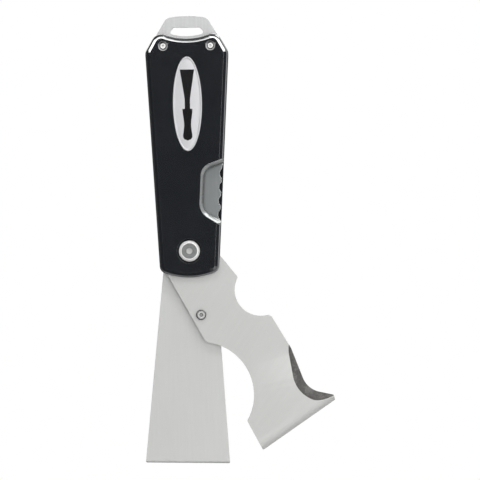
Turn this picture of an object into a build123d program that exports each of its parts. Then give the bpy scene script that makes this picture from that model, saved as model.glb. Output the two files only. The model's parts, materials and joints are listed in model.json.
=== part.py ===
from build123d import *
from math import atan, degrees
import os

# Folding painter's tool: two blades turn on one pivot between black handle
# covers. All sizes are in millimetres. Outlines are drawn as seen from the
# front, with the pivot at their origin: x to the right, height upwards.
# The layers are then stacked along Y, from the front cover (-Y) to the rear.

# handle outline, measured from the pivot
handle_waist = 36.8            # width at the pivot's height
handle_width = 50.0            # width at the shoulders
shoulder_height = 119.6
crest_height = 132.1           # where shoulder line and top wave would meet
crest_half = 17.9
dip_height = 127.7             # middle of the top wave
bottom_corner_drop = 11.9
bottom_drop = 15.9             # lowest point of the curved bottom end
shoulder_round = 7.0
crest_round = 6.1
bottom_round = 4.5
liner_inset = 0.6              # plates stop short of the covers' outline

# hang loop on top of the centre plate
loop_foot_half = 19.2
loop_foot_height = 128.9
loop_top_half = 12.3
loop_corner_height = 140.4
loop_top_height = 141.6
loop_round = 4.2
slot_top_height = 134.7
slot_top_half = 7.9
slot_side_height = 131.3
slot_side_half = 10.9
slot_bottom_height = 129.5
slot_round = 1.4

# layers
cover_thick = 4.0
liner_thick = 1.2
plate_thick = 1.5              # centre plate
lock_layer = 1.7
painter_thick = 2.4
putty_thick = 1.0
washer_thick = 0.23
side_play = 0.02               # between a blade and each washer
bevel_width = 2.8              # sloped band around the covers' outer faces
bevel_depth = 1.28
edge_round = 2.4               # between the sloped band and the side walls

# pivot
barrel_radius = 4.0
blade_running_gap = 0.05
hole_gap = 0.05                # fixed plates around the barrel
shank_radius = 2.5
shank_length = 10.0
pivot_head_radius = 6.3
pivot_head_thick = 2.4
pivot_head_bevel = 1.5
pivot_flat_radius = 4.65
pivot_flat_depth = 0.25
pivot_recess_radius = 7.5
pivot_recess_depth = 2.6
pivot_hex = 3.5                # across flats
pivot_hex_depth = 1.6
washer_radius = 7.6

# cover screws
screw_x = 14.2
screw_above_shoulder = 3.4
screw_head_radius = 1.9
screw_head_thick = 1.3
screw_head_round = 0.5
screw_recess_radius = 2.9
screw_recess_depth = 1.6
screw_shank_radius = 1.2
screw_hex = 1.5
screw_hex_depth = 0.8

# spine strip that keeps the two blade channels open
spine_width = 3.3              # measured in from the covers' outline
spine_foot = 2.9               # below the pivot, where the blades' shoulders stop
toe_top = 1.5
toe_gap = 0.6                  # from the tangs' rims
stop_gap = 0.3
spine_rivet_radius = 1.0
spine_rivet_inset = 2.25
spine_rivet_low = 14.0
spine_rivet_high_margin = 9.6

# thumb window and the relief behind it, both open to the right
window_reach = 13.6
window_low = 22.9
window_high = 50.5
window_low_slope = 0.62
window_high_slope = 0.36
window_low_round = 10.0
window_high_round = 8.0
bezel_gap = 0.05
bezel_lip = 0.35               # width of the bezel at the covers' surface
bezel_base = 2.1               # width of the bezel at the foot of its slope
bezel_slope_depth = 2.0        # its inner side is steep below this
bezel_foot = 2.6               # width of the bezel at the liner
relief_reach = 5.4
relief_low = 19.5
relief_high = 49.5
relief_round = 4.0

# lock leaf, a flat spring with a joggled foot
leaf_thick = 1.2
leaf_left = 3.5
leaf_tip_height = 8.4
leaf_tip_right = 13.0
leaf_edge_inset = 0.9          # scalloped edge, in from the covers' outline
leaf_edge_low = 16.5
leaf_edge_high = 57.0
leaf_neck_right = 17.5
leaf_foot_top = 86.0
leaf_bend_low = 71.0
leaf_bend_high = 75.0
leaf_tang_gap = 0.05
leaf_slot_gap = 0.4            # lock liner around the leaf
scallop_radius = 4.0
scallop_depth = 1.35
scallop_first = 21.6
scallop_pitch = 8.3
scallop_count = 4
scallop_round = 1.0
leaf_rivet_radius = 1.25
leaf_rivet_gap = 0.12
leaf_rivet_height = 81.0
leaf_rivet_spacing = 7.0

# badge on the front cover
badge_width = 17.5
badge_length = 56.6
badge_height = 88.2
badge_thick = 1.0
badge_recess = 0.6
badge_gap = 0.1
badge_rim = 1.1
badge_dish = 0.3

# painter blade, measured along (u) and across (v) from the pivot
painter_rest_angle = 34.2      # from straight open, as it rests
painter_length = 123.5
tang_radius = 12.0
lock_face = 8.0                # flat behind the tang that the leaf locks on
painter_shoulder = 18.9        # half width at the handle end, spine side
painter_spine_end = (50.6, 23.3)
large_notch_centre = (74.7, 43.9)
large_notch_radius = 31.8
chisel_corner = (103.7, 30.1)
chisel_left = 32.3
chisel_right = 20.6
neck_start = (16.3, 13.8)
neck_end = (29.6, 14.8)
small_notch_centre = (44.2, 21.3)
small_notch_radius = 15.3
bump_start = (58.9, 18.0)
bump_end = (83.0, 16.6)
scoop_start = (102.0, 12.1)
scoop_end = (113.8, 15.2)
scoop_tip = (120.5, 21.5)
scoop_centre = (105.0, 24.8)
scoop_radius = 13.0
scoop_grind_width = 5.6
scoop_grind_run = 13.0         # the wheel's travel along the edge, towards the pivot
scoop_grind_angle = 24.4       # of that travel, from the blade's length
edge_thick = 0.45              # left at the ground edges
chisel_grind = 7.5             # length of the curved grind
stud_place = (35.5, 16.2)
stud_radius = 3.05
stud_height = 1.9
stud_shank_radius = 1.5
stud_gap = 0.02
stud_hex = 2.5
stud_hex_depth = 1.1

# putty blade
putty_rest_angle = -1.2
putty_length = 127.9
putty_width = 50.8
putty_corner_round = 0.8
putty_edge_gap = 0.4           # folded blade to the spine strip
putty_bevel = 1.6
putty_edge_thick = 0.5

# places worked out from the sizes above
centre_front = -plate_thick / 2
centre_back = plate_thick / 2
lock_front = centre_front - lock_layer
washer_space = washer_thick + side_play
painter_front = lock_front - painter_thick - 2 * washer_space
liner_front = painter_front - liner_thick
front_face = liner_front - cover_thick
rear_liner_front = centre_back + putty_thick + 2 * washer_space
rear_cover_front = rear_liner_front + liner_thick
rear_face = rear_cover_front + cover_thick
slot_centre = (slot_top_height + slot_bottom_height) / 2
side_slope = (handle_width - handle_waist) / 2 / shoulder_height
screw_height = shoulder_height + screw_above_shoulder
far = 2 * handle_width         # beyond every outline


def side_at(height):
    return handle_waist / 2 + side_slope * height


def plate(sketch, front, thick):
    return extrude(Plane.XZ.offset(-front) * sketch, -thick)


def disc(radius, front, thick, x=0, height=0):
    return plate(Pos(x, height) * Circle(radius), front, thick)


def rounded(sketch, corners):
    for point, radius in corners:
        nearest = sketch.vertices().sort_by_distance((*point, 0))[0]
        sketch = fillet(nearest, radius)
    return sketch


def polygon(*points):
    return make_face(Polyline(*points, close=True))


def hex_socket(across, front, depth, x=0, height=0):
    flats = RegularPolygon(across / 2, 6, major_radius=False)
    return plate(Pos(x, height) * flats, front, depth)


def handle_outline():
    shoulder = (side_at(shoulder_height), shoulder_height)
    crest = (crest_half, crest_height)
    corner = (side_at(-bottom_corner_drop), -bottom_corner_drop)
    left = [(-x, height) for x, height in (shoulder, crest, corner)]
    sketch = make_face([
        Line(corner, shoulder),
        Line(shoulder, crest),
        ThreePointArc(crest, (0, dip_height), left[1]),
        Line(left[1], left[0]),
        Line(left[0], left[2]),
        ThreePointArc(left[2], (0, -bottom_drop), corner),
    ])
    return rounded(sketch, [
        (shoulder, shoulder_round), (left[0], shoulder_round),
        (crest, crest_round), (left[1], crest_round),
        (corner, bottom_round), (left[2], bottom_round),
    ])


def plate_outline():
    return offset(handle_outline(), -liner_inset)


def side_opening(reach, low, high, low_slope, high_slope, low_round, high_round):
    inner_low = (side_at(low) - reach, low)
    inner_high = (side_at(high) - reach, high)
    sketch = polygon(
        inner_low, inner_high,
        (far, high + high_slope * (far - inner_high[0])),
        (far, low - low_slope * (far - inner_low[0])),
    )
    return rounded(sketch, [(inner_low, low_round), (inner_high, high_round)])


def window_outline():
    return side_opening(window_reach, window_low, window_high, window_low_slope,
                        window_high_slope, window_low_round, window_high_round)


def relief_outline():
    return side_opening(relief_reach, relief_low, relief_high, window_low_slope,
                        window_high_slope, relief_round, relief_round)


def rivet_places():
    high = shoulder_height - spine_rivet_high_margin
    heights = [spine_rivet_low, (spine_rivet_low + high) / 2, high]
    return [(spine_rivet_inset - side_at(height), height) for height in heights]


def leaf_rivet_places():
    middle = (leaf_left + leaf_neck_right) / 2
    shift = leaf_rivet_spacing / 2
    return [(middle + side * shift, leaf_rivet_height) for side in (-1, 1)]


def holes(places, radius, front, thick):
    return [disc(radius, front, thick, x, height) for x, height in places]


# the covers' full outer shape, inward = 1 from the front, -1 from the rear
def cover_blank(outer, inward):
    inner = outer + inward * cover_thick
    body = plate(handle_outline(), min(outer, inner), cover_thick)
    face = body.faces().sort_by(Axis.Y)[0 if inward > 0 else -1]
    body = chamfer(face.edges(), bevel_width, bevel_depth, reference=face)
    level = outer + inward * bevel_depth
    rim = [edge for edge in body.edges()
           if max(abs(edge.bounding_box().min.Y - level), abs(edge.bounding_box().max.Y - level)) < 0.01]
    return fillet(rim, edge_round)


def cover(outer, inward):
    body = cover_blank(outer, inward)

    def sunk(radius, depth, x=0, height=0):
        return disc(radius, min(outer, outer + inward * depth), depth, x, height)

    body -= sunk(pivot_recess_radius, pivot_recess_depth)
    body -= sunk(barrel_radius + hole_gap, cover_thick)
    for x in (-screw_x, screw_x):
        body -= sunk(screw_recess_radius, screw_recess_depth, x, screw_height)
        body -= sunk(screw_shank_radius + hole_gap, cover_thick, x, screw_height)
    return body


def front_scale():
    body = cover(front_face, 1)
    seat = Ellipse(badge_width / 2 + badge_gap, badge_length / 2 + badge_gap)
    body -= plate(Pos(0, badge_height) * seat, front_face, badge_recess)
    return body - plate(window_outline(), front_face, cover_thick)


def rear_scale():
    return cover(rear_face, -1)


def window_bezel():
    body = cover_blank(front_face, 1)
    body &= plate(offset(window_outline(), -bezel_gap), front_face, cover_thick)
    slope = degrees(atan((bezel_base - bezel_lip) / bezel_slope_depth))
    mouth = Plane.XZ.offset(-front_face) * offset(window_outline(), -bezel_lip)
    body -= extrude(mouth, -bezel_slope_depth, taper=slope)
    below = cover_thick - bezel_slope_depth
    steep = degrees(atan((bezel_foot - bezel_base) / below))
    throat = Plane.XZ.offset(below - liner_front) * offset(window_outline(), -bezel_base)
    return body - extrude(throat, -below, taper=steep)


def badge_plate():
    face = Pos(0, badge_height) * Ellipse(badge_width / 2, badge_length / 2)
    front = front_face + badge_recess - badge_thick
    body = plate(face, front, badge_thick)
    body = fillet(body.faces().sort_by(Axis.Y)[0].edges(), badge_dish)
    dish = Ellipse(badge_width / 2 - badge_rim, badge_length / 2 - badge_rim)
    return body - plate(Pos(0, badge_height) * dish, front, badge_dish)


def liner(front):
    body = plate(plate_outline(), front, liner_thick)
    body -= disc(barrel_radius + hole_gap, front, liner_thick)
    places = [(x, screw_height) for x in (-screw_x, screw_x)]
    body -= holes(places, screw_shank_radius + hole_gap, front, liner_thick)
    return body - holes(rivet_places(), spine_rivet_radius, front, liner_thick)


def front_liner():
    opening = offset(window_outline(), -bezel_foot)
    return liner(liner_front) - plate(opening, liner_front, liner_thick)


def rear_liner():
    return liner(rear_liner_front) - plate(relief_outline(), rear_liner_front, liner_thick)


def centre_plate():
    top = (0, loop_top_height)
    corner = (loop_top_half, loop_corner_height)
    left_corner = (-loop_top_half, loop_corner_height)
    foot = (loop_foot_half, loop_foot_height)
    base = (loop_foot_half, shoulder_height)
    loop = make_face([
        Line(base, foot), Line(foot, corner), ThreePointArc(corner, top, left_corner),
        Polyline(left_corner, (-foot[0], foot[1]), (-base[0], base[1]), base),
    ])
    loop = rounded(loop, [(corner, loop_round), (left_corner, loop_round)])
    slot_side = (slot_side_half, slot_side_height)
    slot = make_face([
        ThreePointArc((-slot_side_half, slot_side_height), (0, slot_bottom_height), slot_side),
        Polyline(slot_side, (slot_top_half, slot_top_height),
                 (-slot_top_half, slot_top_height), (-slot_side_half, slot_side_height)),
    ])
    slot = fillet(slot.vertices(), slot_round)
    body = plate((plate_outline() + loop) - slot, centre_front, plate_thick)
    body -= plate(relief_outline(), centre_front, plate_thick)
    body -= disc(barrel_radius + hole_gap, centre_front, plate_thick)
    body -= holes(rivet_places(), spine_rivet_radius, centre_front, plate_thick)
    return body - holes(leaf_rivet_places(), leaf_rivet_radius, centre_front, plate_thick)


# flat outline of the lock leaf, without its scallops
def leaf_blank():
    right = [(side_at(height) - leaf_edge_inset, height)
             for height in (leaf_edge_low, leaf_edge_high)]
    tip = (leaf_tip_right, leaf_tip_height)
    heel = (leaf_left, leaf_tip_height)
    neck = (leaf_neck_right, leaf_edge_high + 4)
    foot = (leaf_neck_right, leaf_foot_top)
    toe = (leaf_left, leaf_foot_top)
    sketch = polygon(heel, tip, right[0], right[1], neck, foot, toe)
    return rounded(sketch, [
        (heel, 1.0), (tip, 1.5), (right[0], 2.0), (right[1], 2.0),
        (neck, 3.0), (foot, 2.0), (toe, 2.0),
    ])


def lock_leaf():
    sketch = leaf_blank()
    reach = scallop_radius - scallop_depth
    for index in range(scallop_count):
        height = scallop_first + index * scallop_pitch
        x = side_at(height) - leaf_edge_inset + reach
        sketch -= Pos(x, height) * Circle(scallop_radius)
    low = scallop_first - scallop_pitch / 2
    high = scallop_first + (scallop_count - 0.5) * scallop_pitch
    cusps = [corner for corner in sketch.vertices()
             if low < corner.Y < high and corner.X > leaf_neck_right - 2]
    sketch = fillet(cusps, scallop_round)
    blade_side = lock_front - washer_space + leaf_tang_gap
    foot_side = centre_front - leaf_thick
    bottom = leaf_tip_height - 1
    top = leaf_foot_top + 1
    side_view = polygon(
        (blade_side, bottom), (blade_side, leaf_bend_low), (foot_side, leaf_bend_high),
        (foot_side, top), (centre_front, top), (centre_front, leaf_bend_high),
        (blade_side + leaf_thick, leaf_bend_low), (blade_side + leaf_thick, bottom),
    )
    body = extrude(Plane.YZ * side_view, far, both=True)
    body &= plate(sketch, front_face, rear_face - front_face)
    hole = leaf_rivet_radius + leaf_rivet_gap
    return body - holes(leaf_rivet_places(), hole, foot_side, leaf_thick)


def lock_liner():
    body = plate(plate_outline(), lock_front, lock_layer)
    around = offset(leaf_blank(), leaf_slot_gap)
    edge_low = leaf_tip_height - leaf_slot_gap
    edge_high = leaf_edge_high + leaf_slot_gap + 4
    beside = polygon((leaf_tip_right, edge_low), (far, edge_low),
                     (far, edge_high), (leaf_tip_right, edge_high))
    body -= plate(around, lock_front, lock_layer)
    body -= plate(beside, lock_front, lock_layer)
    body -= disc(barrel_radius + hole_gap, lock_front, lock_layer)
    return body - holes(rivet_places(), spine_rivet_radius, lock_front, lock_layer)


def leaf_rivets():
    front = centre_front - leaf_thick
    return holes(leaf_rivet_places(), leaf_rivet_radius, front, leaf_thick + plate_thick)


def spine_strip(front, thick):
    top = shoulder_height - 1.5
    toe = -tang_radius - toe_gap
    strip = polygon(
        (-far, -spine_foot), (toe, -spine_foot), (toe, toe_top),
        (spine_width - side_at(toe_top), toe_top), (spine_width - side_at(top), top),
        (-far, top),
    )
    body = plate(plate_outline() & strip, front, thick)
    return body - holes(rivet_places(), spine_rivet_radius, front, thick)


def painter_blade_spacer():
    return spine_strip(painter_front, lock_front - painter_front)


def putty_blade_spacer():
    return spine_strip(centre_back, rear_liner_front - centre_back)


def washer(front):
    return disc(washer_radius, front, washer_thick) - disc(
        barrel_radius + hole_gap, front, washer_thick)


def painter_blade_washers():
    return [washer(painter_front), washer(lock_front - washer_thick)]


def putty_blade_washers():
    return [washer(centre_back), washer(rear_liner_front - washer_thick)]


# bevelled head whose flat middle is sunk a little and has a hex socket
def pivot_head(outer, inward):
    def slab(radius, start, depth):
        return disc(radius, min(outer + inward * start, outer + inward * (start + depth)), depth)

    start = pivot_recess_depth - pivot_head_thick
    head = slab(pivot_head_radius, start, pivot_head_thick)
    rim = head.edges().sort_by(Axis.Y)[0 if inward > 0 else -1]
    head = chamfer(rim, pivot_head_bevel)
    head -= slab(pivot_flat_radius, start, pivot_flat_depth)
    socket_start = outer + inward * (start + pivot_flat_depth)
    socket_end = socket_start + inward * pivot_hex_depth
    return head - hex_socket(pivot_hex, min(socket_start, socket_end), pivot_hex_depth)


def pivot_screw():
    seat = front_face + pivot_recess_depth
    return pivot_head(front_face, 1) + disc(shank_radius, seat, shank_length)


def pivot_barrel():
    front_seat = front_face + pivot_recess_depth
    rear_seat = rear_face - pivot_recess_depth
    body = disc(barrel_radius, front_seat, rear_seat - front_seat)
    body += pivot_head(rear_face, -1)
    return body - disc(shank_radius + hole_gap, front_seat, shank_length + 0.5)


def cover_screws(outer, inward, length):
    screws = []
    for x in (-screw_x, screw_x):
        start = outer + inward * (screw_recess_depth - screw_head_thick)
        seat = outer + inward * screw_recess_depth
        end = outer + inward * length
        head = disc(screw_head_radius, min(start, seat), screw_head_thick, x, screw_height)
        rim = head.edges().sort_by(Axis.Y)[0 if inward > 0 else -1]
        head = fillet(rim, screw_head_round)
        depth = start + inward * screw_hex_depth
        head -= hex_socket(screw_hex, min(start, depth), screw_hex_depth, x, screw_height)
        screws.append(head + disc(screw_shank_radius, min(seat, end), abs(end - seat),
                                  x, screw_height))
    return screws


def front_scale_screws():
    return cover_screws(front_face, 1, cover_thick + liner_thick)


def rear_scale_screws():
    return cover_screws(rear_face, -1, cover_thick + liner_thick)


def spine_rivets():
    return holes(rivet_places(), spine_rivet_radius, liner_front, rear_cover_front - liner_front)


# a blade's own (u, v) as seen from the front with the blade straight open
def blade_point(u, v):
    return (v, -u)


def notch_middle(centre, radius, side):
    return (centre[0], side * (centre[1] - radius))


def painter_outline():
    shoulder = stop_gap + spine_foot
    start = (shoulder, -painter_shoulder)
    spine_end = (painter_spine_end[0], -painter_spine_end[1])
    chisel = (chisel_corner[0], -chisel_corner[1])
    points = [blade_point(*pair) for pair in (
        start, spine_end, notch_middle(large_notch_centre, large_notch_radius, -1), chisel,
        (painter_length, -chisel_left), (painter_length, chisel_right), scoop_tip, scoop_end,
        notch_middle(scoop_centre, scoop_radius, 1), scoop_start, bump_end,
        bump_start, notch_middle(small_notch_centre, small_notch_radius, 1), neck_end,
        neck_start, (0, tang_radius - 0.05), (0, 0), (shoulder, 0),
    )]
    (start, spine_end, large_low, chisel, left_tip, right_tip, tip_at, scoop_end_at,
     scoop_low, scoop_start_at, bump_end_at, bump_start_at, small_low, neck_end_at,
     neck_start_at, tang_side, middle, shoulder_in) = points
    sketch = make_face([
        Line(start, spine_end), ThreePointArc(spine_end, large_low, chisel),
        Polyline(chisel, left_tip, right_tip, tip_at, scoop_end_at),
        ThreePointArc(scoop_end_at, scoop_low, scoop_start_at),
        Polyline(scoop_start_at, bump_end_at, bump_start_at),
        ThreePointArc(bump_start_at, small_low, neck_end_at),
        Polyline(neck_end_at, neck_start_at, tang_side, middle, shoulder_in, start),
    ])
    sketch = rounded(sketch, [
        (spine_end, 3.0), (chisel, 1.2), (neck_end_at, 1.2), (bump_start_at, 2.8),
        (bump_end_at, 12.0), (left_tip, 0.6), (right_tip, 0.5), (tip_at, 0.5), (start, 1.5),
    ])
    tang = Circle(tang_radius) - Pos(0, lock_face + tang_radius) * Rectangle(
        3 * tang_radius, 2 * tang_radius)
    return sketch + tang


def painter_blade():
    front = painter_front + washer_space
    body = plate(painter_outline(), front, painter_thick)
    ground = painter_thick - edge_thick
    x, height = blade_point(*scoop_centre)
    reach = scoop_radius + scoop_grind_width
    slope = degrees(atan((scoop_grind_width + 0.1) / ground))
    track = Pos(scoop_grind_run / 2, 0) * SlotCenterToCenter(scoop_grind_run, 2 * reach)
    track = Pos(x, height) * Rot(0, 0, 90 - scoop_grind_angle) * track
    body -= extrude(Plane.XZ.offset(-front) * track, -ground, taper=slope)
    start = (front, chisel_grind - painter_length)
    end = (front + ground, -painter_length)
    sliver = make_face([
        TangentArc(start, end, tangent=(0, -1)),
        Polyline(end, (end[0], end[1] - 1), (front - 1, end[1] - 1), (front - 1, start[1]), start),
    ])
    body -= extrude(Plane.YZ * sliver, far, both=True)
    body -= disc(barrel_radius + blade_running_gap, front, painter_thick)
    stud_x, stud_height_at = blade_point(stud_place[0], -stud_place[1])
    return body - disc(stud_shank_radius + stud_gap, front, painter_thick,
                       stud_x, stud_height_at)


def thumb_stud():
    front = painter_front + washer_space
    x, height = blade_point(stud_place[0], -stud_place[1])
    head = disc(stud_radius, front - stud_height, stud_height, x, height)
    head = fillet(head.edges().sort_by(Axis.Y)[0], 0.7)
    head -= hex_socket(stud_hex, front - stud_height, stud_hex_depth, x, height)
    return head + disc(stud_shank_radius, front, painter_thick, x, height)


def putty_outline():
    neck = side_at(0) - spine_width - putty_edge_gap
    widening = (putty_width / 2 - neck) / putty_length
    shoulder = stop_gap + spine_foot
    tip = putty_width / 2
    top = neck + widening * shoulder
    points = [blade_point(*pair) for pair in (
        (shoulder, -top), (putty_length, -tip), (putty_length, tip), (shoulder, top))]
    sketch = polygon(*points)
    sketch = rounded(sketch, [(points[1], putty_corner_round), (points[2], putty_corner_round),
                              (points[0], 1.0), (points[3], 1.0)])
    return sketch + Circle(tang_radius)


def putty_blade():
    front = centre_back + washer_space
    body = plate(putty_outline(), front, putty_thick)
    ground = putty_thick - putty_edge_thick
    wedge = polygon((front - 1, -putty_length - 1), (front - 1, putty_bevel - putty_length),
                    (front, putty_bevel - putty_length),
                    (front + ground, -putty_length), (front + ground, -putty_length - 1))
    body -= extrude(Plane.YZ * wedge, far, both=True)
    return body - disc(barrel_radius + blade_running_gap, front, putty_thick)


painter_turn = Rot(0, -painter_rest_angle, 0)
putty_turn = Rot(0, -putty_rest_angle, 0)

nodes = {
    "front_scale": front_scale(),
    "rear_scale": rear_scale(),
    "window_bezel": window_bezel(),
    "badge_plate": badge_plate(),
    "front_liner": front_liner(),
    "rear_liner": rear_liner(),
    "centre_plate": centre_plate(),
    "lock_liner": lock_liner(),
    "lock_leaf": lock_leaf(),
    "leaf_rivets": leaf_rivets(),
    "painter_blade_spacer": painter_blade_spacer(),
    "putty_blade_spacer": putty_blade_spacer(),
    "painter_blade_washers": painter_blade_washers(),
    "putty_blade_washers": putty_blade_washers(),
    "pivot_screw": pivot_screw(),
    "pivot_barrel": pivot_barrel(),
    "front_scale_screws": front_scale_screws(),
    "rear_scale_screws": rear_scale_screws(),
    "spine_rivets": spine_rivets(),
    "painter_blade": painter_turn * painter_blade(),
    "thumb_stud": painter_turn * thumb_stud(),
    "putty_blade": putty_turn * putty_blade(),
}

os.makedirs("parts", exist_ok=True)
for name, shape in nodes.items():
    if isinstance(shape, list):
        shape = Compound(children=shape)
    export_step(Pos(0, 0, -slot_centre) * shape, f"parts/{name}.step")
    print("wrote", name)
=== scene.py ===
import json
import math

import bmesh
import bpy
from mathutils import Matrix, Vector

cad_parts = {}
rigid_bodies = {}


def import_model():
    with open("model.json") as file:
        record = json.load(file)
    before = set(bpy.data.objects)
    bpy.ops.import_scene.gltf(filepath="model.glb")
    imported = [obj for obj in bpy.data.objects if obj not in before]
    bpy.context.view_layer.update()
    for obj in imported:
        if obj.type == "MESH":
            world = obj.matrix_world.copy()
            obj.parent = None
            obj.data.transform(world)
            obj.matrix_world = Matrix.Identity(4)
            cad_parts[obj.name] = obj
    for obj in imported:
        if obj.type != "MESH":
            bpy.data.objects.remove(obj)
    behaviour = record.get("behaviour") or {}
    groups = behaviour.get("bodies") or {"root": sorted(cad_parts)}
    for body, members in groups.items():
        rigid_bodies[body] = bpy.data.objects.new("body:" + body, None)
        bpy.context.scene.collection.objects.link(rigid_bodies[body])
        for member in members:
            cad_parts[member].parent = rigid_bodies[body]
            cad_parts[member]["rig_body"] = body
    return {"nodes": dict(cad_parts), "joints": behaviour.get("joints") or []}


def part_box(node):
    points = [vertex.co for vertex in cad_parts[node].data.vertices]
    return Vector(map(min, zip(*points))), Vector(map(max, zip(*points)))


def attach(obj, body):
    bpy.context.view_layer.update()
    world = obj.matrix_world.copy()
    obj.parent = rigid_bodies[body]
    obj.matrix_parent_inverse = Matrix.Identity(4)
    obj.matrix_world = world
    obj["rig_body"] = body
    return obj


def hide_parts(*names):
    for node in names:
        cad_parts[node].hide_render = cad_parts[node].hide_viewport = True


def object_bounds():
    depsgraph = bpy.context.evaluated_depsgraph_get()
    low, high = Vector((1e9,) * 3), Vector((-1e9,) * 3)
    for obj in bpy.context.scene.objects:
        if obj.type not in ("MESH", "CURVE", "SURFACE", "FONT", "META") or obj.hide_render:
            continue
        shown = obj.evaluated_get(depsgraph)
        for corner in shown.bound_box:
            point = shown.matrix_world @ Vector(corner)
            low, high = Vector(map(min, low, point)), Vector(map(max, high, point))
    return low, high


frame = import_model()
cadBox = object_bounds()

mm = 0.001
bladeTurn = 34.2         # degrees between the painter blade at rest and straight open
fineStretch = 40         # how much longer than wide the marks of the grinding are
streakStretch = 25
pivot = Vector(frame["joints"][0]["pos_m"])
print("frame loaded with", len(frame["nodes"]), "nodes")


# shader maths: wraps one output socket, so that masks are written as plain expressions
class Signal:
    def __init__(self, graph, socket):
        self.graph = graph
        self.socket = socket

    def maths(self, operation, first, second=None):
        values = {0: first}
        if second is not None:
            values[1] = second
        return self.graph.node("ShaderNodeMath", {"operation": operation}, values)

    def __add__(self, other):
        return self.maths("ADD", self, other)

    def __sub__(self, other):
        return self.maths("SUBTRACT", self, other)

    def __rsub__(self, other):
        return self.maths("SUBTRACT", other, self)

    def __mul__(self, other):
        return self.maths("MULTIPLY", self, other)

    def __truediv__(self, other):
        return self.maths("DIVIDE", self, other)

    def __pow__(self, other):
        return self.maths("POWER", self, other)

    __radd__ = __add__
    __rmul__ = __mul__

    def clamped(self):
        return self.maths("MINIMUM", self.maths("MAXIMUM", self, 0.0), 1.0)

    def above(self, edge, soft):
        return ((self - (edge - soft)) / (2 * soft)).clamped()

    def absolute(self):
        return self.maths("ABSOLUTE", self)

    def sine(self):
        return self.maths("SINE", self)


class Graph:
    def __init__(self, owner):
        owner.use_nodes = True
        self.tree = owner.node_tree
        self.tree.nodes.clear()

    # settings go on first, then the sockets get their values or links
    def node(self, kind, settings=None, sockets=None, output=0):
        made = self.tree.nodes.new(kind)
        for key, value in (settings or {}).items():
            if key == "stops":
                ramp = made.color_ramp.elements
                while len(ramp) < len(value):
                    ramp.new(0.5)
                for stop, (place, shade) in zip(ramp, value):
                    stop.position = place
                    stop.color = (*shade, 1.0)
            else:
                setattr(made, key, value)
        for key, value in (sockets or {}).items():
            if isinstance(value, Signal):
                self.tree.links.new(value.socket, made.inputs[key])
            elif isinstance(value, tuple) and len(value) == 3 and made.inputs[key].type == "RGBA":
                made.inputs[key].default_value = (*value, 1.0)
            else:
                made.inputs[key].default_value = value
        return Signal(self, made.outputs[output]) if len(made.outputs) else made

    # object coordinates in millimetres, turned about Y so that Z runs along the grain
    def place(self, turn=0.0, centre=(0, 0, 0)):
        spot = self.node("ShaderNodeTexCoord", output="Object")
        moved = self.node("ShaderNodeVectorMath", {"operation": "SUBTRACT"}, {0: spot, 1: tuple(centre)})
        turned = self.node("ShaderNodeVectorRotate", {"rotation_type": "Y_AXIS"},
                           {"Vector": moved, "Angle": turn})
        return self.node("ShaderNodeVectorMath", {"operation": "SCALE"}, {0: turned, "Scale": 1000.0})

    def stretched(self, spot, across, deep, along):
        return self.node("ShaderNodeVectorMath", {"operation": "MULTIPLY"},
                         {0: spot, 1: (across, deep, along)})

    def noise(self, spot, scale=1.0, detail=3.0, rough=0.5, warp=0.0):
        return self.node("ShaderNodeTexNoise", {"noise_dimensions": "3D"}, {
            "Vector": spot, "Scale": scale, "Detail": detail, "Roughness": rough, "Distortion": warp})

    def parts(self, vector):
        return [self.node("ShaderNodeSeparateXYZ", None, {0: vector}, axis) for axis in range(3)]

    def blend(self, mask, low, high):
        return self.node("ShaderNodeMix", {"data_type": "RGBA", "clamp_factor": True},
                         {0: mask, 6: low, 7: high}, 2)

    def bump(self, height, depth, strength=1.0, under=None):
        sockets = {"Height": height, "Distance": depth, "Strength": strength}
        if under is not None:
            sockets["Normal"] = under
        return self.node("ShaderNodeBump", None, sockets)

    def surface(self, sockets):
        shader = self.node("ShaderNodeBsdfPrincipled", None, sockets)
        self.node("ShaderNodeOutputMaterial", None, {"Surface": shader})


def newMaterial(name):
    material = bpy.data.materials.new(name)
    return material, Graph(material)


# thin scratches: narrow bands of a warped, stretched noise
def scratches(graph, spot, across, along, width):
    lines = graph.noise(graph.stretched(spot, across, across, along), 1.0, 2.0, 0.4, 0.3)
    gap = (lines - 0.5).absolute()
    return 1 - gap.above(width, width * 0.5)


def groundSteel(name, look):
    material, g = newMaterial(name)
    spot = g.place(math.radians(look["turn"]), pivot)
    fine = g.noise(g.stretched(spot, look["fine"], look["fine"], look["fine"] / fineStretch),
                   1.0, 4.0, 0.6)
    streak = g.noise(g.stretched(spot, look["streak"], look["streak"], look["streak"] / streakStretch),
                     1.0, 3.0, 0.55)
    cloud = g.noise(spot, 0.045, 3.0, 0.5)
    speck = g.noise(spot, 6.0, 2.0, 0.6)
    hair = scratches(g, spot, 0.9, 0.05, 0.006)
    tone = (fine * 0.35 + streak * 0.35 + cloud * 0.2 + speck * 0.1).clamped()
    shade = g.blend(((tone - 0.5) * look["contrast"] + 0.5).clamped(), look["dark"], look["light"])
    rough = look["rough"] + (fine - 0.5) * 0.16 + (cloud - 0.5) * 0.14 - hair * 0.05
    first = g.bump(fine * 0.6 + streak * 0.4, look["relief"] * mm, 1.0)
    g.surface({"Base Color": shade, "Metallic": look["metal"], "Roughness": rough.clamped(),
               "Normal": g.bump(hair, 0.004 * mm, 0.6, first)})
    return material


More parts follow.
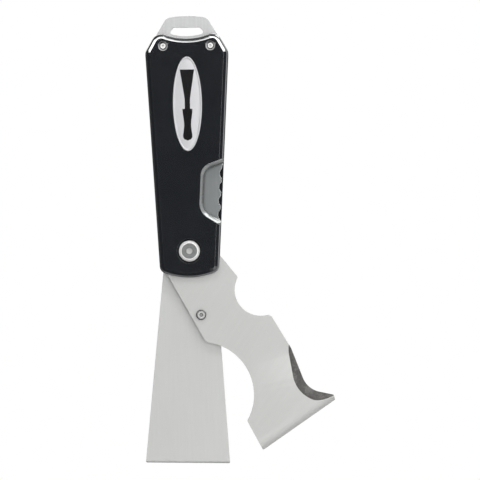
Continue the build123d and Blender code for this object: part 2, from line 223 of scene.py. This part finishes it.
def glossCover(name, look):
    material, g = newMaterial(name)
    spot = g.place()
    swirl = g.noise(spot, 0.05, 4.0, 0.55, 0.4)
    fine = g.noise(spot, 3.5, 3.0, 0.5)
    dust = g.noise(spot, 1.2, 2.0, 0.5).above(0.68, 0.03)
    hair = scratches(g, spot, 0.35, 0.03, 0.004)
    shade = g.blend((swirl * 0.7 + dust * 0.3).clamped(), look["dark"], look["light"])
    rough = look["rough"] + (swirl - 0.5) * 0.08 + dust * 0.04 + hair * 0.02
    first = g.bump(fine, look["relief"] * mm, 1.0)
    g.surface({"Base Color": shade, "Roughness": rough.clamped(), "Coat Weight": look["coat"],
               "Coat Roughness": 0.05, "Coat IOR": look["coatIor"], "IOR": 1.5,
               "Normal": g.bump(swirl, 0.03 * mm, 0.5, first)})
    return material


# polished head with rings left by the lathe around its own axis; where a look gives a flat radius, its
# bevelled rim and socket take painted tones (painted highlight on the pivot, painted shade on the stud)
def turnedSteel(name, look):
    material, g = newMaterial(name)
    spot = g.place(0.0, look.get("centre", (0, 0, 0)))
    x, y, z = g.parts(spot)
    radius = (x * x + z * z) ** 0.5
    wobble = g.noise(spot, 1.4, 2.0, 0.5)
    rings = ((radius * look["rings"] + wobble * 0.8).sine() * 0.5 + 0.5)
    cloud = g.noise(spot, 0.6, 3.0, 0.5)
    smear = g.noise(spot, 2.5, 3.0, 0.6)
    shade = g.blend((rings * 0.4 + cloud * 0.6).clamped(), look["dark"], look["light"])
    metal = look["metal"]
    # painted light and shade: the rim beyond the flat radius (look key bevel) and the socket inside the
    # socket radius get their own colours, not the steel's
    if "flat" in look:
        paintedRimMask = radius.above(look["flat"], 0.1)
        shade = g.blend(paintedRimMask, shade, look["bevel"])
        shade = g.blend(radius.above(look["socket"], 0.1), look["paintedSocketTone"], shade)
        metal = metal + paintedRimMask * (look["paintedRimMetal"] - metal)
    rough = look["rough"] + (smear - 0.5) * 0.1 + rings * 0.05
    g.surface({"Base Color": shade, "Metallic": metal, "Roughness": rough.clamped(),
               "Normal": g.bump(rings, look["relief"] * mm, 0.7)})
    return material


# fine metallic speckle, as on a cast or painted silver part
def grainySilver(name, look):
    material, g = newMaterial(name)
    spot = g.place()
    grit = g.noise(spot, look["grit"], 4.0, 0.7)
    cell = g.node("ShaderNodeTexVoronoi", {"feature": "F1"}, {"Vector": spot, "Scale": look["grit"] * 0.8})
    cloud = g.noise(spot, 0.12, 3.0, 0.5)
    tone = (grit * 0.5 + cell * 0.3 + cloud * 0.2).clamped()
    shade = g.blend(((tone - 0.5) * 1.6 + 0.5).clamped(), look["dark"], look["light"])
    rough = look["rough"] + (grit - 0.5) * 0.2
    g.surface({"Base Color": shade, "Metallic": look["metal"], "Roughness": rough.clamped(),
               "Normal": g.bump(grit * 0.7 + cell * 0.3, look["relief"] * mm, 0.8)})
    return material


# the mark a grinding wheel leaves: dark coarse streaks with slightly lighter patches
def wheelGround(name, look):
    material, g = newMaterial(name)
    spot = g.place(math.radians(look["turn"]), pivot)
    coarse = g.noise(g.stretched(spot, 2.6, 2.6, 0.22), 1.0, 5.0, 0.7, 0.2)
    fine = g.noise(g.stretched(spot, 9.0, 9.0, 0.5), 1.0, 3.0, 0.6)
    patch = g.noise(spot, 0.16, 3.0, 0.55).above(0.56, 0.05)
    tone = (coarse * 0.6 + fine * 0.35 + patch * 0.12).clamped()
    shade = g.node("ShaderNodeValToRGB", {"stops": look["stops"]}, {"Fac": tone})
    rough = look["rough"] + (coarse - 0.5) * 0.25
    g.surface({"Base Color": shade, "Metallic": look["metal"], "Roughness": rough.clamped(),
               "Normal": g.bump(coarse * 0.6 + fine * 0.4, 0.03 * mm, 0.9)})
    return material


# a new piece from a CAD node's own surface, with small true rounds on its crisp edges
def softened(node, name, edge, rounds=2, crisp=35):
    shape = bmesh.new()
    shape.from_mesh(frame["nodes"][node].data)
    bmesh.ops.remove_doubles(shape, verts=shape.verts, dist=0.001 * mm)
    bmesh.ops.dissolve_limit(shape, angle_limit=math.radians(0.5), verts=shape.verts, edges=shape.edges)
    lines = [line for line in shape.edges
             if len(line.link_faces) == 2 and line.calc_face_angle() > math.radians(crisp)]
    bmesh.ops.bevel(shape, geom=lines, offset=edge * mm, offset_type="OFFSET", segments=rounds,
                    profile=0.5, affect="EDGES", clamp_overlap=True)
    wide = [face for face in shape.faces if len(face.verts) > 4]
    bmesh.ops.triangulate(shape, faces=wide)
    return finished(shape, name, node)


def finished(shape, name, node=None, smoothTo=32):
    bmesh.ops.recalc_face_normals(shape, faces=shape.faces)
    mesh = bpy.data.meshes.new(name)
    shape.to_mesh(mesh)
    shape.free()
    for layer in ("custom_normal", "sharp_edge", "sharp_face"):
        if layer in mesh.attributes:
            mesh.attributes.remove(mesh.attributes[layer])
    mesh.shade_smooth()
    mesh.set_sharp_from_angle(angle=math.radians(smoothTo))
    piece = bpy.data.objects.new(name, mesh)
    bpy.context.scene.collection.objects.link(piece)
    even = piece.modifiers.new("evenNormals", "WEIGHTED_NORMAL")
    even.keep_sharp = True
    if node:
        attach(piece, frame["nodes"][node]["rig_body"])
        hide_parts(node)
    return piece


def dress(piece, *materials):
    piece.data.materials.clear()
    for material in materials:
        piece.data.materials.append(material)


def markFaces(piece, index, chosen):
    for face in piece.data.polygons:
        if chosen(face):
            face.material_index = index


# ---- covers
coverLook = {
    "dark": (0.0058, 0.0076, 0.0104), "light": (0.0098, 0.012, 0.0154),
    "rough": 0.13, "coat": 1.0, "coatIor": 2.4, "relief": 0.003, "edge": 0.45, "rounds": 4,
}
coverPlastic = glossCover("coverPlastic", coverLook)
for node, name in (("front_scale", "front_cover"), ("rear_scale", "rear_cover")):
    dress(softened(node, name, coverLook["edge"], coverLook["rounds"], 18), coverPlastic)
print("covers done")

# ---- steel plates of the handle
plateLook = {
    "turn": 0, "dark": (0.36, 0.365, 0.365), "light": (0.6, 0.605, 0.6), "metal": 0.95, "rough": 0.36,
    "fine": 7.0, "streak": 1.2, "contrast": 1.5, "relief": 0.006, "edge": 0.12,
}
plateSteel = groundSteel("plateSteel", plateLook)
for node, name in (
    ("front_liner", "front_liner_plate"), ("rear_liner", "rear_liner_plate"),
    ("lock_liner", "lock_liner_plate"), ("painter_blade_spacer", "painter_channel_strip"),
    ("putty_blade_spacer", "putty_channel_strip"),
):
    dress(softened(node, name, plateLook["edge"]), plateSteel)

loopLook = {
    "turn": 0, "dark": (0.48, 0.485, 0.485), "light": (0.7, 0.705, 0.705), "metal": 0.85, "rough": 0.4,
    "fine": 6.0, "streak": 0.9, "contrast": 1.4, "relief": 0.006, "edge": 0.25,
}
dress(softened("centre_plate", "hang_loop_plate", loopLook["edge"], 3),
      groundSteel("loopSteel", loopLook))
print("plates and hang loop done")

# ---- lock leaf and the silver rim of its window
# the leaf's steel is toned darker than the other steel plates: painted shade of the recess it sits in
leafLook = {
    "turn": 0, "dark": (0.185, 0.198, 0.198), "light": (0.262, 0.278, 0.28), "metal": 0.85, "rough": 0.4,
    "fine": 6.0, "streak": 0.8, "contrast": 1.3, "relief": 0.006, "edge": 0.42,
}
# the leaf's right-facing edge faces get a near-white, mostly diffuse copy of its steel: a painted highlight
leafEdgePaintedHighlightLook = {
    "turn": 0, "dark": (0.85, 0.86, 0.86), "light": (0.97, 0.97, 0.97), "metal": 0.15, "rough": 0.3,
    "fine": 6.0, "streak": 0.8, "contrast": 1.3, "relief": 0.003, "facesRight": 0.25, "facesFront": 0.95,
}


def onLeafLitEdge(face):
    return face.normal.x > leafEdgePaintedHighlightLook["facesRight"] and abs(face.normal.y) < leafEdgePaintedHighlightLook["facesFront"]


leafPiece = softened("lock_leaf", "lock_spring_leaf", leafLook["edge"], 3)
dress(leafPiece, groundSteel("leafSteel", leafLook), groundSteel("leafEdgePaintedHighlight", leafEdgePaintedHighlightLook))
# faces turned to the right take the painted highlight material
markFaces(leafPiece, 1, onLeafLitEdge)

rimLook = {
    "dark": (0.2, 0.21, 0.21), "light": (0.34, 0.35, 0.35), "metal": 0.85, "rough": 0.28,
    "grit": 5.0, "relief": 0.006, "edge": 0.12,
}
dress(softened("window_bezel", "window_rim", rimLook["edge"]), grainySilver("rimSilver", rimLook))
print("lock leaf and window rim done")

# ---- badge: a domed oval plate with a dark enamel putty knife laid in
badgeLook = {
    "rim": 1.1, "round": 0.35, "dish": 0.3, "dome": 0.22, "around": 96, "roundSteps": 6, "domeSteps": 12,
    "lipWide": 0.3, "lipEnd": 0.1, "lipDrop": 0.06, "dishLift": 0.05,
    "dark": (0.5, 0.5, 0.515), "light": (0.7, 0.7, 0.72), "metal": 0.5, "rough": 0.34,
    "grit": 4.5, "relief": 0.012,
}
emblemLook = {
    "top": 20.5, "bladeFoot": 3.0, "ferruleFoot": -3.0, "bottom": -22.0,
    "bladeHalf": 4.3, "neckHalf": 1.6, "gripHalf": 3.0, "gripWaist": 2.1, "gripEnd": 0.16, "gripSteps": 28,
    "front": 0.02, "back": 0.4, "round": 0.07,
    "dark": (0.004, 0.004, 0.005), "light": (0.009, 0.009, 0.01), "rough": 0.16,
    "coat": 0.6, "coatIor": 1.5, "relief": 0.002,
}
badgeLow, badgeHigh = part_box("badge_plate")
badgeMiddle = (badgeLow + badgeHigh) / 2
badgeHalf = (badgeHigh - badgeLow) / 2


def ovalRing(shape, inset, depth):
    ring = []
    for step in range(badgeLook["around"]):
        angle = 2 * math.pi * step / badgeLook["around"]
        x = badgeMiddle.x + (badgeHalf.x - inset * mm) * math.cos(angle)
        z = badgeMiddle.z + (badgeHalf.z - inset * mm) * math.sin(angle)
        ring.append(shape.verts.new((x, badgeLow.y + depth * mm, z)))
    return ring


def joinRings(shape, first, second):
    for step in range(len(first)):
        after = (step + 1) % len(first)
        shape.faces.new((first[step], first[after], second[after], second[step]))


# (inset, depth) pairs over the rim, then across the dome to its middle
def badgeProfile():
    look = badgeLook
    thick = 2 * badgeHalf.y / mm
    profile = [(0.0, thick), (0.0, look["round"])]
    for step in range(1, look["roundSteps"] + 1):
        turn = math.pi / 2 * step / look["roundSteps"]
        profile.append((look["round"] * (1 - math.cos(turn)), look["round"] * (1 - math.sin(turn))))
    profile.append((look["rim"] - look["lipWide"], 0.0))
    profile.append((look["rim"] - look["lipEnd"], look["lipDrop"]))
    profile.append((look["rim"], look["dish"] - look["dishLift"]))
    profile.append((look["rim"] + look["lipEnd"], look["dish"]))
    reach = badgeHalf.x / mm - look["rim"] - look["lipEnd"]
    for step in range(1, look["domeSteps"]):
        part = step / look["domeSteps"]
        profile.append((look["rim"] + look["lipEnd"] + reach * part,
                        look["dish"] - look["dome"] * (1 - (1 - part) ** 2)))
    return profile


def badgeShape():
    shape = bmesh.new()
    rings = [ovalRing(shape, inset, depth) for inset, depth in badgeProfile()]
    for first, second in zip(rings, rings[1:]):
        joinRings(shape, first, second)
    caps = [shape.faces.new(list(reversed(rings[0]))), shape.faces.new(rings[-1])]
    bmesh.ops.triangulate(shape, faces=caps)
    return shape


# half the outline of a putty knife, from its edge down to the end of its grip
def knifeHalf():
    look = emblemLook
    half = [(look["bladeHalf"], look["top"]), (look["neckHalf"], look["bladeFoot"]),
            (look["neckHalf"], look["ferruleFoot"])]
    for step in range(look["gripSteps"] + 1):
        part = step / look["gripSteps"]
        swell = 0.5 + 0.5 * math.cos(2 * math.pi * part)
        width = look["gripWaist"] + (look["gripHalf"] - look["gripWaist"]) * swell
        if part > 1 - look["gripEnd"]:
            turn = (part - 1 + look["gripEnd"]) / look["gripEnd"]
            width *= math.sqrt(max(0.0, 1 - turn * turn))
        height = look["ferruleFoot"] + (look["bottom"] - look["ferruleFoot"]) * part
        half.append((width, height))
    return half


def knifeShape():
    shape = bmesh.new()
    half = knifeHalf()
    outline = half[:-1] + [(0.0, half[-1][1])] + [(-x, height) for x, height in reversed(half[:-1])]
    front = badgeLow.y + emblemLook["front"] * mm
    corners = [shape.verts.new((badgeMiddle.x + x * mm, front, badgeMiddle.z + height * mm))
               for x, height in outline]
    face = shape.faces.new(corners)
    rim = list(face.edges)
    pulled = bmesh.ops.extrude_face_region(shape, geom=[face])
    deep = [part for part in pulled["geom"] if isinstance(part, bmesh.types.BMVert)]
    bmesh.ops.translate(shape, verts=deep, vec=(0, (emblemLook["back"] - emblemLook["front"]) * mm, 0))
    bmesh.ops.bevel(shape, geom=rim, offset=emblemLook["round"] * mm, offset_type="OFFSET", segments=2,
                    profile=0.5, affect="EDGES", clamp_overlap=True)
    bmesh.ops.triangulate(shape, faces=[face for face in shape.faces if len(face.verts) > 4])
    return shape


dress(finished(badgeShape(), "badge_oval", "badge_plate"), grainySilver("badgeSilver", badgeLook))
emblem = finished(knifeShape(), "badge_emblem")
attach(emblem, frame["nodes"]["badge_plate"]["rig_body"])
dress(emblem, glossCover("emblemEnamel", emblemLook))
print("badge done")

# ---- pivot, screws and rivets
# the bevel ring is painted near-white and mostly diffuse as a painted highlight; the socket is painted
# lighter than the flat as painted light
pivotLook = {
    "centre": tuple(pivot), "dark": (0.11, 0.118, 0.115), "light": (0.31, 0.32, 0.315), "rough": 0.3,
    "metal": 0.6, "bevel": (0.97, 0.97, 0.96), "paintedRimMetal": 0.15, "flat": 4.65,
    "socket": 1.8, "paintedSocketTone": (0.6, 0.6, 0.59),
    "rings": 7.0, "relief": 0.012, "edge": 0.1,
}
pivotSteel = turnedSteel("pivotSteel", pivotLook)
for node, name in (("pivot_screw", "pivot_screw_head"), ("pivot_barrel", "pivot_sleeve")):
    dress(softened(node, name, pivotLook["edge"]), pivotSteel)

# the front faces of the screw and rivet heads are painted near-white and mostly diffuse: a painted highlight
screwFacePaintedLightLook = {
    "dark": (0.88, 0.88, 0.87), "light": (0.98, 0.98, 0.97), "rough": 0.3, "metal": 0.2,
    "rings": 3.0, "relief": 0.004, "edge": 0.06,
}
# faces of the heads that do not face the front are painted dark: painted shade
screwRimPaintedShadeLook = {
    "dark": (0.12, 0.122, 0.125), "light": (0.3, 0.302, 0.305), "rough": 0.3, "metal": 0.8,
    "rings": 3.0, "relief": 0.004, "facesFront": 0.97,
}


def onScrewRim(face):
    return abs(face.normal.y) < screwRimPaintedShadeLook["facesFront"]


screwFacePaintedLight = turnedSteel("screwFacePaintedLight", screwFacePaintedLightLook)
screwRimPaintedShade = turnedSteel("screwRimPaintedShade", screwRimPaintedShadeLook)
for node, name in (
    ("front_scale_screws", "front_cover_screws"), ("rear_scale_screws", "rear_cover_screws"),
    ("leaf_rivets", "leaf_foot_rivets"), ("spine_rivets", "spine_pins"),
):
    piece = softened(node, name, screwFacePaintedLightLook["edge"])
    dress(piece, screwFacePaintedLight, screwRimPaintedShade)
    markFaces(piece, 1, onScrewRim)

studLow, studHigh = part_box("thumb_stud")
# the stud's bevel ring is painted near-black and its socket dark: painted shade around and inside the head
studLook = {
    "centre": tuple((studLow + studHigh) / 2), "dark": (0.42, 0.43, 0.42), "light": (0.72, 0.73, 0.72),
    "rough": 0.26, "metal": 0.7, "bevel": (0.1, 0.1, 0.1), "paintedRimMetal": 0.7, "flat": 2.35, "socket": 1.3,
    "paintedSocketTone": (0.3, 0.3, 0.3), "rings": 5.0, "relief": 0.006, "edge": 0.1,
}
dress(softened("thumb_stud", "blade_stud", studLook["edge"]), turnedSteel("studSteel", studLook))

washerLook = {
    "centre": tuple(pivot), "dark": (0.42, 0.28, 0.13), "light": (0.6, 0.43, 0.22), "rough": 0.34,
    "metal": 1.0, "rings": 6.0, "relief": 0.006,
}
washerBronze = turnedSteel("washerBronze", washerLook)
for node in ("painter_blade_washers", "putty_blade_washers"):
    frame["nodes"][node].material_slots[0].material = washerBronze
print("pivot and fasteners done")

# ---- blades
painterLook = {
    "turn": -bladeTurn, "dark": (0.51, 0.512, 0.498), "light": (0.6, 0.602, 0.588), "metal": 0.7,
    "rough": 0.4, "fine": 5.0, "streak": 0.7, "contrast": 1.2, "relief": 0.006, "edge": 0.42,
}
scoopLook = {
    "turn": -bladeTurn, "metal": 0.3, "rough": 0.55,
    "from": 75, "steepest": 0.86, "flattest": 0.96, "facesAcross": 0.05,
    "stops": [(0.25, (0.03, 0.029, 0.028)), (0.5, (0.075, 0.072, 0.068)), (0.8, (0.2, 0.195, 0.19))],
}
# the blade's side walls and edge rounds get a near-black copy of the steel: painted shade and painted dark
# reflection along the edges
edgePaintedShadeLook = {
    "turn": -bladeTurn, "dark": (0.03, 0.03, 0.03), "light": (0.09, 0.09, 0.088), "metal": 0.4, "rough": 0.3,
    "fine": 5.0, "streak": 0.7, "contrast": 1.2, "relief": 0.004,
    "facesFront": 0.93, "grindAlong": 0.2, "grindFront": 0.86,
}
painterPiece = softened("painter_blade", "painter_tool_blade", painterLook["edge"], 3, 20)
dress(painterPiece, groundSteel("painterSteel", painterLook), wheelGround("scoopGrind", scoopLook),
      groundSteel("edgePaintedShade", edgePaintedShadeLook))
along = Vector((math.sin(math.radians(bladeTurn)), 0, -math.cos(math.radians(bladeTurn))))
across = Vector((math.cos(math.radians(bladeTurn)), 0, math.sin(math.radians(bladeTurn))))


# faces that do not face the front, apart from the chisel grind, take the painted shade material
def onPaintedShadeEdge(face):
    onGrind = (face.normal.dot(along) > edgePaintedShadeLook["grindAlong"]
               and abs(face.normal.y) > edgePaintedShadeLook["grindFront"])
    return abs(face.normal.y) < edgePaintedShadeLook["facesFront"] and not onGrind


def inScoop(face):
    slopes = -scoopLook["flattest"] < face.normal.y < -scoopLook["steepest"]
    low = (face.center - pivot).dot(along) > scoopLook["from"] * mm
    return slopes and low and face.normal.dot(across) > scoopLook["facesAcross"]


markFaces(painterPiece, 2, onPaintedShadeEdge)
markFaces(painterPiece, 1, inScoop)

puttyLook = {
    "turn": 1.2, "dark": (0.535, 0.54, 0.526), "light": (0.625, 0.63, 0.616), "metal": 0.7, "rough": 0.38,
    "fine": 6.0, "streak": 0.8, "contrast": 1.2, "relief": 0.004, "edge": 0.12,
}
dress(softened("putty_blade", "flexible_putty_blade", puttyLook["edge"]),
      groundSteel("puttySteel", puttyLook))
print("blades done")

# ---- floor, light and camera
studio = {
    "floorDrop": 0.3, "floorSize": 2.4, "floorFade": 1.0, "floorTone": (0.82, 0.82, 0.81),
}

# each box's brightness, and (edge, softness) pairs that bound it in the direction's three parts
skyLook = {
    "ambient": 0.035,
    "frontBox": 7.0, "frontBoxUp": (0.3, 0.05), "frontBoxFrom": (0.583, 0.015), "frontBoxTo": (0.71, 0.03),
    "strip": 1.4, "stripSide": (0.2, 0.04), "stripFrom": (0.72, 0.04), "stripTo": (0.92, 0.03),
    "lowBox": 0.5, "lowBoxSide": (0.27, 0.05), "lowBoxDown": (0.16, 0.06), "lowBoxFrom": (0.5, 0.08),
    "ring": 2.1, "ringFrom": (0.93, 0.02), "ringTo": (0.988, 0.005),
    "ringBase": 0.85, "ringRight": 1.2, "ringUp": 0.6,
    "belt": 1.0, "beltWide": (0.34, 0.08), "beltBase": 0.6, "beltRight": 0.5, "beltUp": 0.1,
    "topBox": 4.5, "topBoxSide": (0.36, 0.04), "topBoxUp": (0.66, 0.04), "topBoxWide": (0.3, 0.05),
    "rearBox": 2.6, "rearBoxUp": (0.3, 0.08), "rearBoxFrom": (0.5, 0.08),
}


def addFloor():
    shape = bmesh.new()
    bmesh.ops.create_grid(shape, x_segments=24, y_segments=24, size=studio["floorSize"])
    height = cadBox[0].z - studio["floorDrop"]
    for corner in shape.verts:
        corner.co.z = height
    mesh = bpy.data.meshes.new("floor")
    shape.to_mesh(mesh)
    shape.free()
    floor = bpy.data.objects.new("floor", mesh)
    bpy.context.scene.collection.objects.link(floor)
    floor.visible_glossy = False
    material, g = newMaterial("floorPaint")
    x, y, z = g.parts(g.node("ShaderNodeTexCoord", output="Object"))
    reach = (x * x + y * y) ** 0.5
    fade = reach.above(studio["floorFade"], 0.4)
    mottle = g.noise(g.place(), 0.02, 3.0)
    tone = g.blend(mottle, studio["floorTone"], tuple(0.96 * v for v in studio["floorTone"]))
    paint = g.node("ShaderNodeBsdfPrincipled", None, {"Base Color": tone, "Roughness": 0.7})
    clear = g.node("ShaderNodeBsdfTransparent")
    mixed = g.node("ShaderNodeMixShader", None, {0: fade, 1: paint, 2: clear})
    g.node("ShaderNodeOutputMaterial", None, {"Surface": mixed})
    dress(floor, material)


# Straight ahead stays dark, so that the covers do too. Around it lie a soft ring, a large box
# above, and a belt level with the tool that is strongest on the right
def addSky():
    world = bpy.data.worlds.new("studioSky")
    bpy.context.scene.world = world
    g = Graph(world)
    side, back, up = g.parts(g.node("ShaderNodeTexCoord", output="Generated"))
    front = 0.0 - back
    look = skyLook
    frontBox = up.above(*look["frontBoxUp"]) * front.above(*look["frontBoxFrom"])
    frontBox = frontBox * (1 - front.above(*look["frontBoxTo"]))
    strip = side.above(*look["stripSide"]) * front.above(*look["stripFrom"])
    strip = strip * (1 - front.above(*look["stripTo"]))
    lowBox = side.above(*look["lowBoxSide"]) * (0.0 - up).above(*look["lowBoxDown"])
    lowBox = lowBox * front.above(*look["lowBoxFrom"])
    ring = front.above(*look["ringFrom"]) * (1 - front.above(*look["ringTo"]))
    ring = ring * (look["ringBase"] + side * look["ringRight"] + up * look["ringUp"])
    beltTone = (look["beltBase"] + side * look["beltRight"] - up * look["beltUp"]).clamped()
    belt = (1 - front.absolute().above(*look["beltWide"])) * beltTone
    topBox = side.above(*look["topBoxSide"]) * up.above(*look["topBoxUp"])
    topBox = topBox * (1 - front.absolute().above(*look["topBoxWide"]))
    rearBox = up.above(*look["rearBoxUp"]) * back.above(*look["rearBoxFrom"])
    strength = (look["ambient"] + frontBox * look["frontBox"] + ring * look["ring"]
                + strip * look["strip"] + lowBox * look["lowBox"] + belt * look["belt"]
                + topBox * look["topBox"] + rearBox * look["rearBox"])
    seen = g.node("ShaderNodeLightPath", output="Is Camera Ray")
    lit = g.node("ShaderNodeBackground", None, {"Color": (1.0, 1.0, 1.0), "Strength": strength})
    plain = g.node("ShaderNodeBackground", None, {"Color": (1.0, 1.0, 1.0), "Strength": 1.0})
    mixed = g.node("ShaderNodeMixShader", None, {0: seen, 1: lit, 2: plain})
    g.node("ShaderNodeOutputWorld", None, {"Surface": mixed})


cameraSet = {"lens": 200.0, "sensor": 36.0, "width": 289.4, "aim": (30.44, 0.0, 6.19), "roll": 0.76}


def addCamera():
    lens = bpy.data.cameras.new("camera")
    lens.lens = cameraSet["lens"]
    lens.sensor_width = cameraSet["sensor"]
    lens.clip_end = 50
    away = cameraSet["width"] * mm / 2 / (lens.sensor_width / 2 / lens.lens)
    camera = bpy.data.objects.new("camera", lens)
    camera.location = pivot + Vector(cameraSet["aim"]) * mm + Vector((0, -away, 0))
    camera.rotation_euler = (math.radians(90), math.radians(cameraSet["roll"]), 0)
    bpy.context.scene.collection.objects.link(camera)
    bpy.context.scene.camera = camera


addFloor()
addSky()
addCamera()
bpy.context.scene.view_settings.view_transform = "Standard"
print("floor, light and camera done")
